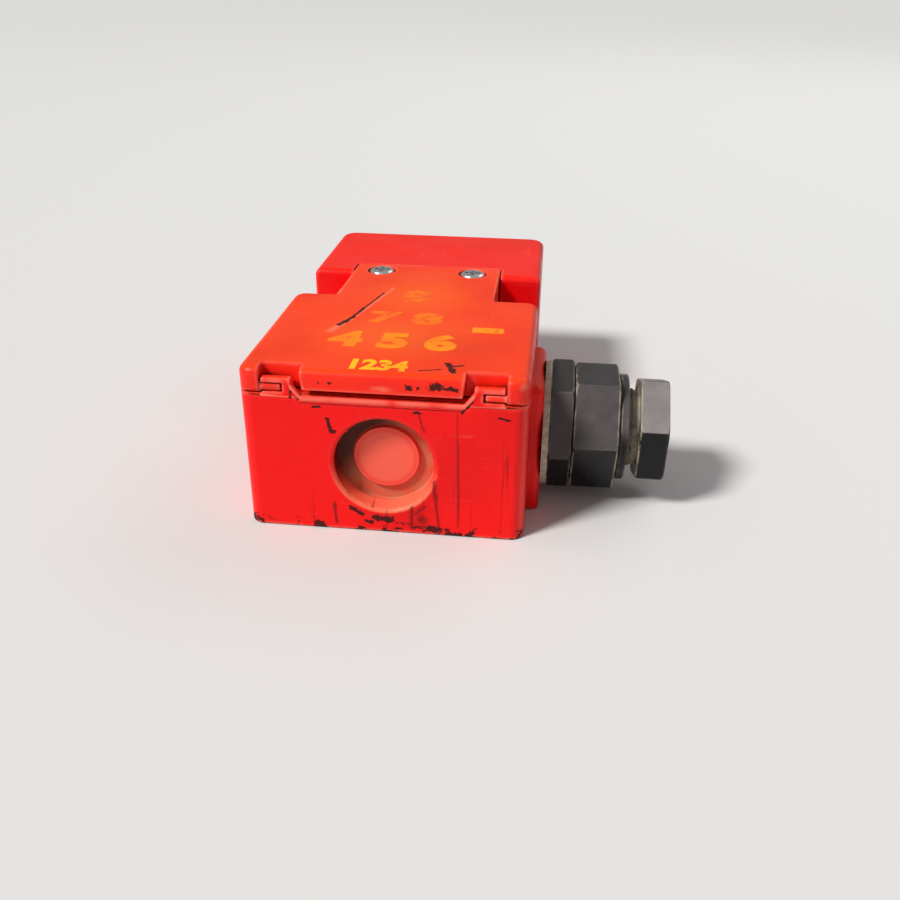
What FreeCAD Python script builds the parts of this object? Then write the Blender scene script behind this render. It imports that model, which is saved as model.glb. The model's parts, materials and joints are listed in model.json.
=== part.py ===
import FreeCAD, Part

import math
import os

from FreeCAD import Placement, Rotation, Vector

# A key-operated guard interlock switch, in millimetres.
# It lies on its mounting back. +X points out of the cable gland, +Y from the wiring space
# towards the head, +Z away from the mounting face. The origin is midway between the two
# mounting slots, on the back face.

# Housing outline
housing_width = 52.0
housing_height = 32.1
body_length = 42.6
notch_length = 16.4
head_length = 34.0
neck_width = 33.4
corner_radius = 2.6
head_corner_radius = 3.6
top_edge_radius = 1.5
neck_corner_radius = 0.8

# Base housing
lid_depth = 4.9
side_wall = 3.2
front_wall = 6.0
floor = 2.6
rim_chamfer = 0.5
front_ledge_width = 30.4
front_ledge_drop = 1.3
screw_block_length = 8.6
ear_height = 7.0
mount_spacing = 41.6
mount_slot_radius = 2.75
mount_slot_length = 7.4
boss_depth = 2.4
boss_length = 22.0
boss_below_rim = 1.0
boss_edge_radius = 1.4
boss_top_radius = 1.9

# Conduit entries
entry_margin = 3.05
entry_below_middle = 0.9
side_entry_from_front = 22.4
knockout_depth = 4.6
knockout_web = 1.0
knockout_ring_width = 3.05
knockout_disc_rise = 1.0

# Spring seat and plunger line
plunger_height = 14.0
plunger_radius = 2.0
plunger_travel = 2.5
plunger_grip = 2.6
plunger_run = 0.05
spring_seat_thickness = 2.0
spring_seat_height = 20.0
spring_seat_shift = 0.2
spring_seat_play = 0.5
spring_length = 6.6
spring_radius = 3.3
spring_wire = 0.4
spring_turns = 5
collar_radius = 4.4
collar_thickness = 1.2
bush_radius = 3.6
bush_length = 4.8
bush_flange_radius = 5.0
bush_flange_thickness = 1.2
seal_radius = 4.5
seal_length = 2.8

# Lid
lid_gap = 0.1
lid_plate = 2.3
skirt = 1.6
tongue_width = 29.4
tongue_bottom_width = 28.6
tongue_drop = 3.9
tongue_thickness = 3.1
tongue_taper_start = 0.6
hinge_notch_width = 7.3
front_rib = 1.2
pin_radius = 0.8
pin_length = 3.8
pin_run = 0.07
pin_root = 0.5
knuckle_radius = 1.1
lug_width = 5.4
lug_radius = 1.85
lug_setback = 0.2
lug_gap = 0.3
lug_root = 1.0
lug_foot_reach = 1.6
lug_foot_sink = 0.5
lug_foot_rise = 0.9
gasket_width = 1.3
gasket_height = 2.4
gasket_fit = 0.1
gasket_lap = 0.3
gasket_top_fit = 0.05
lid_fit = 0.2

# Lid screws
lid_screw_from_side = 6.2
lid_screw_from_notch = 1.4
lid_screw_radius = 1.75
lid_screw_head_radius = 2.8
lid_screw_head_height = 1.9
lid_screw_seat_depth = 1.7
lid_screw_engagement = 4.7
lid_screw_hole_radius = 1.95
lid_screw_seat_radius = 3.2
lid_boss_radius = 3.5
insert_radius = 2.8
insert_bore_radius = 2.15
insert_length = 6.9

# Head
neck_depth_in_head = 4.6
neck_fit = 0.2
head_gasket_thickness = 1.0
head_gasket_inset = 0.7
head_screw_play = 0.2
plunger_play = 1.0
head_front_wall = 3.0
head_wall = 3.0
head_roof = 3.2
head_plate_thickness = 2.4
head_plate_fit = 0.2
head_plate_ledge = 1.0
plate_screw_inset = 4.0
plate_post_radius = 3.4
plate_screw_radius = 1.5
plate_screw_length = 8.0
plate_screw_end_gap = 0.2
plate_screw_play = 0.2
plate_screw_slot_width = 0.7
plate_screw_slot_depth = 0.7
countersink_share = 1.9
countersink_depth = 1.35
head_screw_from_side = 6.7
head_screw_height = 7.5
head_screw_radius = 1.95
head_screw_head_radius = 3.3
head_screw_head_height = 2.3
head_screw_boss_radius = 3.6
head_screw_boss_length = 1.0
head_screw_tip_clearance = 0.3
key_slot_width = 15.2
key_slot_height = 4.8
key_slot_centre = 21.3

# Key cam
cam_from_head_front = 18.8
cam_radius = 9.0
cam_width = 12.0
cam_turn = 60.0
cam_shaft_radius = 2.0
shaft_run = 0.05
cam_pocket_radius = 5.0
cam_pocket_start = 30.0
cam_pocket_end = 62.0
cam_rise_start = 88.0
cam_dwell_start = 100.0
tip_gap = 0.15
cheek_gap = 0.3
cheek_thickness = 2.5
cheek_length = 17.6
cheek_height = 15.8
cradle_floor = 1.6
shaft_overhang = 1.8
clip_radius = 3.4
clip_thickness = 0.8
clip_run = 0.05
clip_mouth = 2.4
cradle_ear_width = 6.0
cradle_ear_length = 7.0
cradle_screw_radius = 1.5
cradle_screw_length = 3.8
cradle_screw_play = 0.2

# Contact block
block_width = 28.0
block_length = 26.0
block_height = 16.3
block_from_body_rear = 4.2
channel_width = 9.2
channel_depth = 10.9
contact_pitch = 8.0
contact_count = 3
pocket_length = 6.4
pocket_depth = 6.4
terminal_seat_depth = 1.7
terminal_seat_width = 4.8
carrier_fit = 0.15
carrier_below_top = 2.4
bridge_width = 18.0
bridge_thickness = 0.8
bridge_height = 3.0
bridge_lift = 0.5
bridge_back = 1.4
bridge_fit = 0.05
bridge_spring_radius = 1.1
bridge_spring_wire = 0.4
bridge_spring_length = 2.4
bridge_spring_turns = 3
contact_gap = 0.1
terminal_plate_fit = 0.2
terminal_plate_inset = 0.3
terminal_thickness = 0.8
finger_width = 3.0
finger_inner = 5.8
terminal_screw_radius = 1.25
terminal_screw_length = 3.8
block_foot_width = 6.0
block_foot_height = 3.0
block_foot_lift = 3.9
block_screw_radius = 1.4
block_screw_length = 7.6
small_head_radius = 2.4
small_head_height = 1.8
thread_fit = 0.05

# Cable gland
washer_thickness = 1.2
washer_overhang = 2.95
adapter_hex_over_bore = 3.5
adapter_hex_length = 4.4
adapter_hex_turn = 7.0
adapter_barrel_length = 7.4
adapter_thin_wall = 1.2
adapter_thick_wall = 2.75
gland_hex_over_bore = 3.1
gland_hex_length = 8.5
gland_hex_turn = -3.0
gland_joint_gap = 0.2
gland_barrel_length = 6.0
gland_throat_wall = 3.65
collar_overhang = 1.15
collar_ring_length = 1.5
collar_neck_overhang = 0.35
collar_neck_length = 0.3
pressure_hex_over_bore = 0.5
pressure_hex_length = 5.4
pressure_hex_turn = 39.0
pressure_thread_shown = 2.2
pressure_thread_wall = 1.45
pressure_thread_pitch = 1.0
pressure_thread_depth = 0.45
pressure_shank_length = 2.6
cable_bore_wall = 4.15
seal_ring_length = 4.0
thrust_washer_thickness = 0.8
hex_chamfer = 0.7
hex_chamfer_slope = 0.6
collar_edge = 0.3
seal_fit = 0.1
washer_fit = 0.1

# Positions that follow from the sizes
rim_height = housing_height - lid_depth
boss_height = rim_height - boss_below_rim
entry_height = (rim_height + floor) / 2 - entry_below_middle
entry_radius = (rim_height - floor) / 2 - entry_margin
half_width = housing_width / 2
half_neck = neck_width / 2
half_notch = notch_length / 2
body_front = -half_notch - body_length
body_rear = -half_notch
head_front = half_notch
head_rear = half_notch + head_length
neck_rear = head_front + neck_depth_in_head
lid_bottom = rim_height + lid_gap
plate_bottom = housing_height - lid_plate
hinge_y = body_front + knuckle_radius
hinge_z = lid_bottom + knuckle_radius
screw_block_front = neck_rear - screw_block_length
side_entry_y = body_front + side_entry_from_front
boss_face = half_width + boss_depth
head_recess_rear = neck_rear + head_gasket_thickness
head_cavity_front = head_recess_rear + head_front_wall
head_cavity_rear = head_rear - head_wall
cam_y = head_front + cam_from_head_front
cam_z = plunger_height
plunger_tip = cam_y - cam_radius - tip_gap
block_rear = body_rear - block_from_body_rear
block_front = block_rear - block_length
block_top = floor + block_height
contact_rows = [
    block_front + block_length / 2 + (row - (contact_count - 1) / 2) * contact_pitch
    for row in range(contact_count)
]
lid_screw_y = head_front + lid_screw_from_notch
lid_screw_seat = housing_height - lid_screw_seat_depth
lid_screw_x = half_neck - lid_screw_from_side
head_screw_x = half_neck - head_screw_from_side
spring_seat_rear = body_rear + spring_seat_shift
channel_floor = block_height - channel_depth
pocket_floor = block_height - pocket_depth
terminal_seat = block_height - terminal_seat_depth
terminal_x = block_width / 2 - terminal_seat_width / 2
carrier_top = block_height - carrier_below_top
bridge_bottom = floor + pocket_floor + bridge_lift
countersink_radius = plate_screw_radius * countersink_share
cheek_inner = cam_width / 2 + cheek_gap
cheek_outer = cheek_inner + cheek_thickness

os.makedirs("parts", exist_ok=True)


def save(shape, name):
    shape.exportStep(os.path.join("parts", name + ".step"))


def box(x0, x1, y0, y1, z0, z1):
    return Part.makeBox(x1 - x0, y1 - y0, z1 - z0, Vector(x0, y0, z0))


def rod(radius, start, direction, length):
    return Part.makeCylinder(radius, length, Vector(*start), Vector(*direction))


def tube(outer, inner, start, direction, length):
    return rod(outer, start, direction, length).cut(rod(inner, start, direction, length))


def union(shapes):
    result = shapes[0]
    for shape in shapes[1:]:
        result = result.fuse(shape)
    return result.removeSplitter()


def mirrored(shape):
    return shape.mirror(Vector(0, 0, 0), Vector(1, 0, 0))


def rounded_block(x0, x1, y0, y1, z0, z1, front_radius, rear_radius, top_radius):
    """A block with rounded upright corners and, where top_radius isn't 0, a rounded top rim."""
    block = box(x0, x1, y0, y1, z0, z1)
    for y, radius in ((y0, front_radius), (y1, rear_radius)):
        if radius > 0:
            uprights = [
                edge for edge in block.Edges
                if all(abs(vertex.Y - y) < 1e-6 for vertex in edge.Vertexes)
                and abs(edge.Vertexes[0].Z - edge.Vertexes[-1].Z) > 1e-3
            ]
            block = block.makeFillet(radius, uprights)
    if top_radius > 0:
        rim = [
            edge for edge in block.Edges
            if all(abs(vertex.Z - z1) < 1e-6 for vertex in edge.Vertexes)
        ]
        block = block.makeFillet(min(top_radius, 0.45 * (z1 - z0)), rim)
    return block


def prism_x(points, x0, x1):
    """A prism along X of an outline given as (y, z) points."""
    corners = [Vector(x0, y, z) for y, z in points]
    face = Part.Face(Part.makePolygon(corners + corners[:1]))
    return face.extrude(Vector(x1 - x0, 0, 0))


def prism_y(points, y0, y1):
    """A prism along Y of an outline given as (x, z) points."""
    corners = [Vector(x, y0, z) for x, z in points]
    face = Part.Face(Part.makePolygon(corners + corners[:1]))
    return face.extrude(Vector(0, y1 - y0, 0))


def tee(inset, front, rear, z0, z1):
    """The housing's T-shaped plan, set in by inset at its sides and rear shoulders."""
    wide = box(-half_width + inset, half_width - inset, front, body_rear - inset, z0, z1)
    stem = box(-half_neck + inset, half_neck - inset, body_rear - body_length / 2, rear, z0, z1)
    return wide.fuse(stem).removeSplitter()


def hexagon_x(across_flats, x0, x1, turn):
    """A hexagonal bar on the gland's axis, chamfered at both ends; turn is in degrees."""
    corner = across_flats / math.sqrt(3)
    points = []
    for side in range(6):
        angle = math.radians(60 * side + turn)
        points.append((side_entry_y + corner * math.cos(angle), entry_height + corner * math.sin(angle)))
    bar = prism_x(points, x0, x1)
    low = corner - hex_chamfer
    slope = hex_chamfer * hex_chamfer_slope
    profile = [
        Vector(x0, side_entry_y, entry_height),
        Vector(x0, side_entry_y + low, entry_height),
        Vector(x0 + slope, side_entry_y + corner + 0.05, entry_height),
        Vector(x1 - slope, side_entry_y + corner + 0.05, entry_height),
        Vector(x1, side_entry_y + low, entry_height),
        Vector(x1, side_entry_y, entry_height),
    ]
    outline = Part.Face(Part.makePolygon(profile + profile[:1]))
    axis_point = Vector(0, side_entry_y, entry_height)
    return bar.common(outline.revolve(axis_point, Vector(1, 0, 0), 360))


def on_gland_axis(x):
    return (x, side_entry_y, entry_height)


def pan_head_screw(head_radius, head_height, shank_radius, shank_length):
    """A cross-recessed screw on the Z axis, its seat at z = 0 and its shank below."""
    head = rod(head_radius, (0, 0, 0), (0, 0, 1), head_height)
    rim = [edge for edge in head.Edges if all(abs(v.Z - head_height) < 1e-6 for v in edge.Vertexes)]
    head = head.makeFillet(0.4 * head_height, rim)
    shank = rod(shank_radius, (0, 0, -shank_length), (0, 0, 1), shank_length)
    screw = union([head, shank])
    slot_length = 0.62 * head_radius
    slot_half_width = 0.14 * head_radius
    slot_floor = 0.45 * head_height
    for long_x in (True, False):
        half_x = slot_length if long_x else slot_half_width
        half_y = slot_half_width if long_x else slot_length
        screw = screw.cut(box(-half_x, half_x, -half_y, half_y, slot_floor, head_height + 1))
    return screw


def placed(shape, position, axis=(0, 0, 1)):
    """A copy of shape with its own +Z turned to axis and its origin at position."""
    copy = shape.copy()
    copy.Placement = Placement(Vector(*position), Rotation(Vector(0, 0, 1), Vector(*axis)))
    return copy


def coil_y(radius, wire, length, turns, start):
    """A round-wire coil along +Y whose wire stays inside length."""
    height = length - 2 * wire
    helix = Part.makeHelix(height / turns, height, radius)
    profile = Part.Wire(Part.makeCircle(wire / 2, Vector(radius, 0, 0), Vector(0, 1, 0)))
    pipe = Part.Wire(helix).makePipeShell([profile], True, True)
    pipe.Placement = Placement(Vector(start[0], start[1] + wire, start[2]), Rotation(Vector(1, 0, 0), -90))
    return pipe


# Base housing: the tub, the neck, the ears with the mounting slots and the entries
def side_boss():
    block = box(half_width - side_wall, boss_face, side_entry_y - boss_length / 2,
                side_entry_y + boss_length / 2, 0, boss_height)
    uprights = [
        edge for edge in block.Edges
        if all(abs(v.X - boss_face) < 1e-6 for v in edge.Vertexes)
        and abs(edge.Vertexes[0].Z - edge.Vertexes[-1].Z) > 1e-3
    ]
    block = block.makeFillet(boss_edge_radius, uprights)
    top = [
        edge for edge in block.Edges
        if all(abs(v.Z - boss_height) < 1e-6 and v.X > half_width - side_wall + 1e-3 for v in edge.Vertexes)
    ]
    return block.makeFillet(min(boss_top_radius, 0.8 * boss_depth), top)


def knockout(mouth, inward):
    """What a blanked entry removes from its wall: the bore, the ring around the disc, the back."""
    point = Vector(*mouth)
    direction = Vector(*inward)
    bore = Part.makeCylinder(entry_radius, knockout_depth, point, direction)
    disc_start = point + direction * (knockout_depth - knockout_disc_rise)
    disc = Part.makeCylinder(entry_radius - knockout_ring_width, knockout_disc_rise, disc_start, direction)
    back_start = point + direction * (knockout_depth + knockout_web)
    back = Part.makeCylinder(entry_radius, front_wall, back_start, direction)
    return bore.cut(disc).fuse(back)


def hinge_lug():
    """A lug beside the tongue, with an open seat for the lid's stub pin."""
    inner = tongue_width / 2 + hinge_notch_width - lug_gap - lug_width
    outer = inner + lug_width
    root = rim_height - lug_root
    body = box(inner, outer, body_front + lug_setback, hinge_y + lug_radius, root, hinge_z + lug_radius)
    body = body.common(rod(lug_radius, (inner, hinge_y, hinge_z), (1, 0, 0), lug_width).fuse(
        box(inner, outer, body_front, hinge_y, root, hinge_z)))
    foot = inner - lug_foot_reach
    foot_low = rim_height - lug_foot_sink
    foot_top = hinge_z + lug_foot_rise
    wedge = prism_y([(foot, foot_low), (foot, rim_height), (inner, foot_top), (inner + lug_foot_sink, foot_top),
                     (inner + lug_foot_sink, foot_low)], body_front + lug_setback, hinge_y)
    seat_radius = pin_radius + pin_run
    seat_start = outer - pin_length
    seat = rod(seat_radius, (seat_start, hinge_y, hinge_z), (1, 0, 0), pin_length + 1)
    mouth = box(seat_start, outer + 1, body_front - 1, hinge_y, hinge_z - seat_radius, hinge_z + seat_radius)
    return union([body, wedge]).cut(seat).cut(mouth)


def ear():
    block = box(half_neck - side_wall, half_width, body_rear - side_wall, head_front - neck_fit, 0, ear_height)
    straight = mount_slot_length / 2 - mount_slot_radius
    centre = mount_spacing / 2
    slot = box(centre - straight, centre + straight, -mount_slot_radius, mount_slot_radius, -1, ear_height + 1)
    for end in (centre - straight, centre + straight):
        slot = slot.fuse(rod(mount_slot_radius, (end, 0, -1), (0, 0, 1), ear_height + 2))
    return block, slot


def make_base():
    base = rounded_block(-half_width, half_width, body_front, body_rear, 0, rim_height,
                         corner_radius, corner_radius, 0)
    neck = rounded_block(-half_neck, half_neck, body_rear - body_length / 2, neck_rear, 0, rim_height,
                         0, neck_corner_radius, 0)
    ear_block, ear_slot = ear()
    base = union([base, neck, ear_block, mirrored(ear_block), side_boss(), mirrored(side_boss())])
    base = base.cut(tee(side_wall, body_front + front_wall, screw_block_front, floor, rim_height + 1))
    seat = box(-half_neck + side_wall / 2, half_neck - side_wall / 2,
               spring_seat_rear - spring_seat_thickness, spring_seat_rear, floor / 2, spring_seat_height)
    block_posts = [block_screw_post(x, y) for x, y in block_screw_points()]
    base = union([base, seat] + block_posts)
    base = base.cut(ear_slot).cut(mirrored(ear_slot))

    # The front edge under the lid: a shallow bevel, and a wide ledge under the tongue
    base = base.cut(prism_x([(body_front - 1, rim_height - rim_chamfer - 1), (body_front + rim_chamfer + 1,
                            rim_height + 1), (body_front - 1, rim_height + 1)], -half_width, half_width))
    ledge = front_ledge_drop + 1
    base = base.cut(prism_x([(body_front - 1, rim_height - ledge), (body_front + ledge, rim_height + 1),
                             (body_front - 1, rim_height + 1)], -front_ledge_width / 2, front_ledge_width / 2))
    base = union([base, hinge_lug(), mirrored(hinge_lug())])

    # Entries: blanked at the front and left, open at the right for the gland
    base = base.cut(knockout((0, body_front, entry_height), (0, 1, 0)))
    thick = box(-half_width, -half_width + front_wall - boss_depth, side_entry_y - boss_length / 2,
                side_entry_y + boss_length / 2, floor / 2, boss_height)
    base = base.fuse(thick).removeSplitter()
    base = base.cut(knockout((-boss_face, side_entry_y, entry_height), (1, 0, 0)))
    base = base.cut(rod(entry_radius, (0.5 * half_width, side_entry_y, entry_height), (1, 0, 0), half_width))

    # The neck's rear block: plunger bush, plunger seal, lid screw inserts and head screws
    seat_front = spring_seat_rear - 2 * spring_seat_thickness
    base = base.cut(rod(plunger_radius + spring_seat_play, (0, seat_front, plunger_height), (0, 1, 0),
                        3 * spring_seat_thickness))
    base = base.cut(rod(bush_radius + thread_fit, (0, screw_block_front - 1, plunger_height), (0, 1, 0),
                        screw_block_length + 2))
    base = base.cut(rod(seal_radius + thread_fit, (0, neck_rear - seal_length - thread_fit, plunger_height),
                        (0, 1, 0), seal_length + 1))
    for side in (-1, 1):
        x = side * lid_screw_x
        base = base.cut(rod(insert_radius + thread_fit, (x, lid_screw_y, rim_height - insert_length - thread_fit),
                            (0, 0, 1), insert_length + 1))
        x = side * head_screw_x
        base = base.cut(rod(head_screw_radius + thread_fit, (x, screw_block_front - 1, head_screw_height),
                            (0, 1, 0), screw_block_length + 2))
    for x, y in block_screw_points():
        depth = block_screw_length - block_foot_height + thread_fit
        base = base.cut(rod(block_screw_radius + thread_fit, (x, y, floor + block_foot_lift - depth),
                            (0, 0, 1), depth + 1))
    return base


# Contact block
def block_screw_points():
    x = block_width / 2 + block_foot_width / 2
    inset = block_foot_width / 2
    return [(x, block_rear - inset), (-x, block_front + inset)]


def block_screw_post(x, y):
    half = block_foot_width / 2
    return box(x - half, x + half, y - half, y + half, floor / 2, floor + block_foot_lift)


def make_block():
    half = block_width / 2
    block = box(-half, half, block_front, block_rear, floor, block_top)
    for x, y in block_screw_points():
        reach = block_foot_width / 2
        foot = box(x - reach - 1 if x > 0 else x - reach, x + reach if x > 0 else x + reach + 1, y - reach,
                   y + reach, floor + block_foot_lift, floor + block_foot_lift + block_foot_height)
        block = block.fuse(foot)
    block = block.removeSplitter()
    block = block.cut(box(-channel_width / 2, channel_width / 2, block_front - 1, block_rear + 1,
                          floor + channel_floor, block_top + 1))
    for y in contact_rows:
        reach = half - terminal_seat_width
        block = block.cut(box(-reach, reach, y - pocket_length / 2, y + pocket_length / 2,
                              floor + pocket_floor, block_top + 1))
        block = block.cut(box(-half - 1, half + 1, y - pocket_length / 2, y + pocket_length / 2,
                              floor + terminal_seat, block_top + 1))
        for side in (-1, 1):
            depth = terminal_screw_length - terminal_thickness + thread_fit
            block = block.cut(rod(terminal_screw_radius + thread_fit,
                                  (side * terminal_x, y, floor + terminal_seat - depth), (0, 0, 1), depth + 1))
    for x, y in block_screw_points():
        block = block.cut(rod(block_screw_radius + thread_fit, (x, y, floor), (0, 0, 1), block_height))
    return block


def bridge_front(y):
    """The front face of a bridge bar at rest, with the carrier pressed forwards."""
    return y - bridge_back - bridge_thickness / 2


def make_carrier():
    front = block_front + 1
    rear = contact_rows[-1] + pocket_length / 2
    half = channel_width / 2 - carrier_fit
    carrier = box(-half, half, front, rear, floor + channel_floor + carrier_fit, floor + carrier_top)
    for y in contact_rows:
        window_rear = bridge_front(y) + bridge_thickness + bridge_fit
        window_front = bridge_front(y) - bridge_spring_length - bridge_fit
        carrier = carrier.cut(box(-half - 1, half + 1, window_front, window_rear,
                                  bridge_bottom - bridge_fit, floor + carrier_top + 1))
    grip_start = (0, rear - plunger_grip, plunger_height)
    return carrier.cut(rod(plunger_radius + thread_fit, grip_start, (0, 1, 0), block_length))


def make_bridges():
    bars = []
    for y in contact_rows:
        bars.append(box(-bridge_width / 2, bridge_width / 2, bridge_front(y), bridge_front(y) + bridge_thickness,
                        bridge_bottom, bridge_bottom + bridge_height))
    return Part.makeCompound(bars)


def make_bridge_springs():
    coils = []
    for y in contact_rows:
        start = (0, bridge_front(y) - bridge_spring_length, bridge_bottom + bridge_height / 2)
        coils.append(coil_y(bridge_spring_radius, bridge_spring_wire, bridge_spring_length,
                            bridge_spring_turns, start))
    return Part.makeCompound(coils)


def make_fixed_contacts():
    strips = []
    seat = floor + terminal_seat
    for row, y in enumerate(contact_rows):
        closed_at_rest = row == contact_count - 1
        if closed_at_rest:
            finger_front = bridge_front(y) - contact_gap - terminal_thickness
        else:
            finger_front = bridge_front(y) + bridge_thickness + plunger_travel + contact_gap
        plate_half = pocket_length / 2 - terminal_plate_fit
        plate = box(finger_inner, block_width / 2 - terminal_plate_inset, y - plate_half, y + plate_half,
                    seat, seat + terminal_thickness)
        finger = box(finger_inner, finger_inner + finger_width, finger_front, finger_front + terminal_thickness,
                     floor + pocket_floor + bridge_fit, seat + terminal_thickness / 2)
        strip = plate.fuse(finger).removeSplitter()
        strip = strip.cut(rod(terminal_screw_radius + thread_fit, (terminal_x, y, seat - 1), (0, 0, 1), 3))
        strips.append(strip)
        strips.append(mirrored(strip))
    return Part.makeCompound(strips)


def make_terminal_screws():
    screw = pan_head_screw(small_head_radius, small_head_height, terminal_screw_radius, terminal_screw_length)
    seat = floor + terminal_seat + terminal_thickness
    return Part.makeCompound([
        placed(screw, (side * terminal_x, y, seat)) for y in contact_rows for side in (-1, 1)
    ])


def make_block_screws():
    screw = pan_head_screw(small_head_radius, small_head_height, block_screw_radius, block_screw_length)
    seat = floor + block_foot_lift + block_foot_height
    return Part.makeCompound([placed(screw, (x, y, seat)) for x, y in block_screw_points()])


# Plunger line
def make_plunger():
    start = contact_rows[-1] + pocket_length / 2 - plunger_grip
    straight_end = plunger_tip - plunger_radius
    shaft = rod(plunger_radius, (0, start, plunger_height), (0, 1, 0), straight_end - start)
    dome = Part.makeSphere(plunger_radius, Vector(0, straight_end, plunger_height))
    dome = dome.common(box(-plunger_radius, plunger_radius, straight_end, plunger_tip + 1,
                           plunger_height - plunger_radius, plunger_height + plunger_radius))
    collar = rod(collar_radius, (0, spring_seat_rear + spring_length, plunger_height), (0, 1, 0), collar_thickness)
    return union([shaft, dome, collar])


def make_bush():
    bore = plunger_radius + plunger_run
    flange_front = screw_block_front - bush_flange_thickness
    flange = tube(bush_flange_radius, bore, (0, flange_front, plunger_height), (0, 1, 0), bush_flange_thickness)
    barrel = tube(bush_radius, bore, (0, screw_block_front, plunger_height), (0, 1, 0), bush_length)
    return union([flange, barrel])


def make_plunger_seal():
    start = (0, neck_rear - seal_length, plunger_height)
    return tube(seal_radius, plunger_radius + plunger_run, start, (0, 1, 0), seal_length)


def make_return_spring():
    return coil_y(spring_radius, spring_wire, spring_length, spring_turns,
                  (0, spring_seat_rear, plunger_height))


# Lid: plate, skirt, front tongue, hinge corners with stub pins, screw bosses
def make_lid():
    lid_rear = head_recess_rear - lid_fit
    wide = rounded_block(-half_width, half_width, body_front, body_rear, lid_bottom, housing_height,
                         corner_radius, corner_radius, top_edge_radius)
    stem = rounded_block(-half_neck, half_neck, body_rear - body_length / 2, lid_rear, lid_bottom, housing_height,
                         0, neck_corner_radius, 0)
    lid = union([wide, stem])
    rib_rear = body_front + tongue_thickness + front_rib
    lid = lid.cut(tee(skirt, rib_rear, lid_rear - skirt, lid_bottom - 1, plate_bottom))

    # The tongue hangs in front, narrower at its foot, above a gap
    tongue_bottom = housing_height - tongue_drop
    lid = lid.cut(box(-tongue_width / 2, tongue_width / 2, body_front - 1, body_front + tongue_thickness,
                      lid_bottom - 1, tongue_bottom))
    slant = (tongue_width - tongue_bottom_width) / 2
    for side in (-1, 1):
        lid = lid.cut(prism_y([(side * tongue_width / 2, tongue_bottom),
                               (side * (tongue_width / 2 - slant), tongue_bottom),
                               (side * tongue_width / 2, housing_height - tongue_taper_start)],
                              body_front - 1, body_front + tongue_thickness))

    # Notches for the hinge lugs, rounded knuckles outside them and the stub pins
    notch_inner = tongue_width / 2
    notch_outer = notch_inner + hinge_notch_width
    for side in (-1, 1):
        x0, x1 = sorted((side * notch_inner, side * notch_outer))
        lid = lid.cut(box(x0, x1, body_front - 1, body_front + tongue_thickness, lid_bottom - 1,
                          housing_height + 1))
        x0, x1 = sorted((side * notch_outer, side * (half_width + 1)))
        under = box(x0, x1, body_front - 1, hinge_y, lid_bottom - 1, hinge_z)
        lid = lid.cut(under.cut(rod(knuckle_radius, (x0, hinge_y, hinge_z), (1, 0, 0), x1 - x0)))
        pin_end = notch_outer - pin_length
        x0, x1 = sorted((side * (notch_outer + pin_root), side * pin_end))
        lid = lid.fuse(rod(pin_radius, (x0, hinge_y, hinge_z), (1, 0, 0), x1 - x0))

    for side in (-1, 1):
        x = side * lid_screw_x
        boss = rod(lid_boss_radius, (x, lid_screw_y, lid_bottom + lid_fit), (0, 0, 1), plate_bottom - lid_bottom)
        inside = tee(skirt / 2, rib_rear, lid_rear - skirt / 2, lid_bottom, housing_height)
        lid = lid.fuse(boss.common(inside))
    for side in (-1, 1):
        x = side * lid_screw_x
        lid = lid.cut(rod(lid_screw_hole_radius, (x, lid_screw_y, lid_bottom - 1), (0, 0, 1), housing_height))
        lid = lid.cut(rod(lid_screw_seat_radius, (x, lid_screw_y, lid_screw_seat), (0, 0, 1), housing_height))
    return lid.removeSplitter()


def make_lid_gasket():
    outer_inset = skirt + gasket_fit
    inner_inset = outer_inset + gasket_width
    front = body_front + tongue_thickness + front_rib + gasket_fit
    rear = screw_block_front + gasket_width + gasket_lap
    top = plate_bottom - gasket_top_fit
    outer = tee(outer_inset, front, rear, top - gasket_height, top)
    inner = tee(inner_inset, front + gasket_width, rear - gasket_width, top - gasket_height - 1, top + 1)
    return outer.cut(inner)


def make_lid_screws():
    length = lid_screw_seat - rim_height + lid_screw_engagement
    screw = pan_head_screw(lid_screw_head_radius, lid_screw_head_height, lid_screw_radius, length)
    return Part.makeCompound([
        placed(screw, (side * lid_screw_x, lid_screw_y, lid_screw_seat)) for side in (-1, 1)
    ])


def make_inserts():
    return Part.makeCompound([
        tube(insert_radius, insert_bore_radius, (side * lid_screw_x, lid_screw_y, rim_height - insert_length),
             (0, 0, 1), insert_length)
        for side in (-1, 1)
    ])


# Head: the housing, its gasket, screws, base plate and the key cam in its cradle
def plate_screw_points():
    x = half_width - head_wall - plate_screw_inset + 1
    return [
        (side * x, y) for side in (-1, 1)
        for y in (head_cavity_front + plate_screw_inset - 1, head_cavity_rear - plate_screw_inset + 1)
    ]


def plate_outline(fit, z0, z1):
    reach = half_width - head_wall + head_plate_ledge - fit
    return box(-reach, reach, head_cavity_front - head_plate_ledge + fit, head_cavity_rear + head_plate_ledge - fit,
               z0, z1)


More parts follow.
